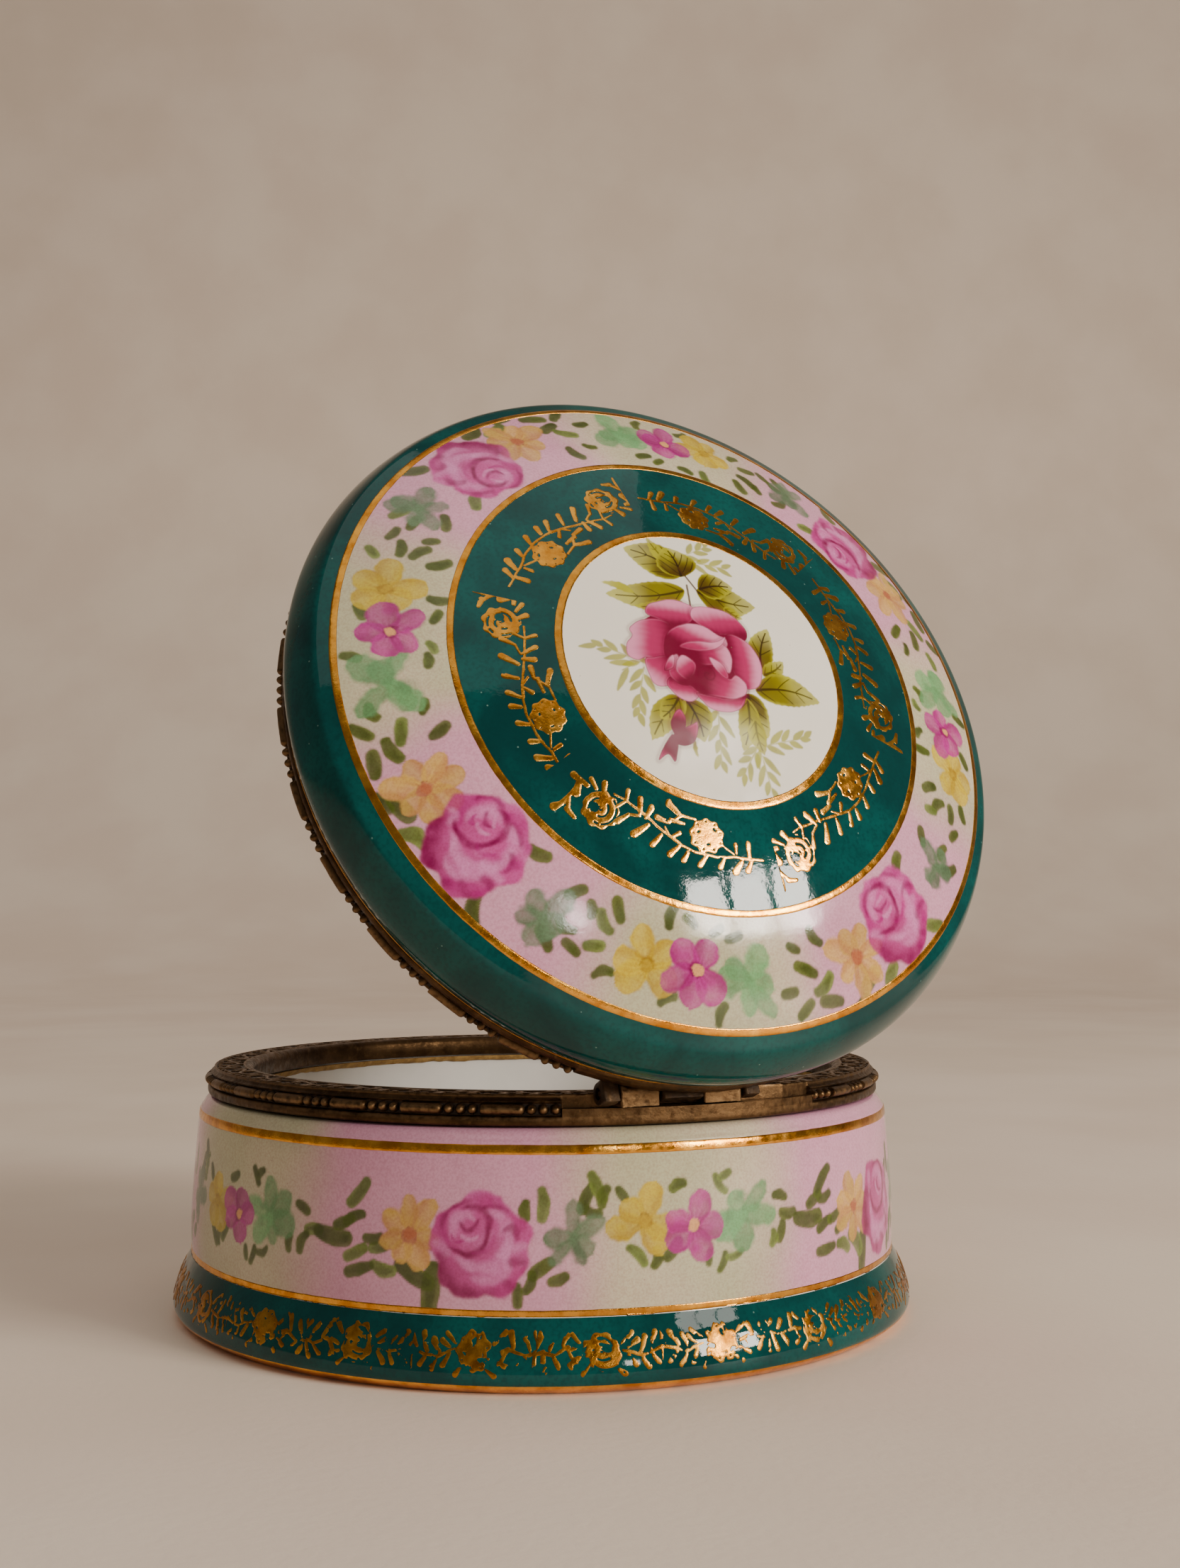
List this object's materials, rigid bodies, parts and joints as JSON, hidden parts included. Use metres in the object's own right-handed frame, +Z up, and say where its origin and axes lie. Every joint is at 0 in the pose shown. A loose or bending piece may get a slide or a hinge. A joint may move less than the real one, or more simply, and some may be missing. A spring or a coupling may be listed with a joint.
{
  "type": "powder jar",
  "caption": "Round porcelain powder box on a flared foot, with brass collars and a domed lid on a knuckle hinge, standing open.",
  "frame": {"origin": "centre of the open jar's footprint, on the table plane; the jar's upright axis is 3.5 mm in front of it, at y = -3.5 mm", "axes": "+Z up, +Y from the jar's axis towards the hinge, X along the hinge axis"},
  "size_m": [0.113, 0.1204, 0.1358],
  "materials": {
    "base_porcelain": "glossy glazed porcelain, pink and pale green wall with painted flowers, teal foot with gold",
    "lid_porcelain": "glossy glazed porcelain, teal with gold rings, a painted flower band and a white medallion",
    "collar_brass": "stamped brass with a dark brown patina, worn bright on its edges",
    "hinge_brass": "worn brown brass",
    "cement": "matte yellow-brown setting cement"
  },
  "bodies": {
    "base": {"base_bowl": "base_porcelain", "base_collar": "collar_brass", "base_cement_ring": "cement", "base_knuckle_left": "hinge_brass", "base_knuckle_right": "hinge_brass", "hinge_pin": "hinge_brass"},
    "lid": {"lid_dome": "lid_porcelain", "lid_collar": "collar_brass", "lid_cement_ring": "cement", "lid_knuckle_left": "hinge_brass", "lid_knuckle_middle": "hinge_brass", "lid_knuckle_right": "hinge_brass"}
  },
  "joints": [
    {"name": "lid_hinge", "type": "hinge", "parent": "base", "child": "lid", "pos_m": [0.0035, 0.0473, 0.03695], "axis": [-1, 0, 0], "range_deg": [-66.5, 28.5]}
  ]
}
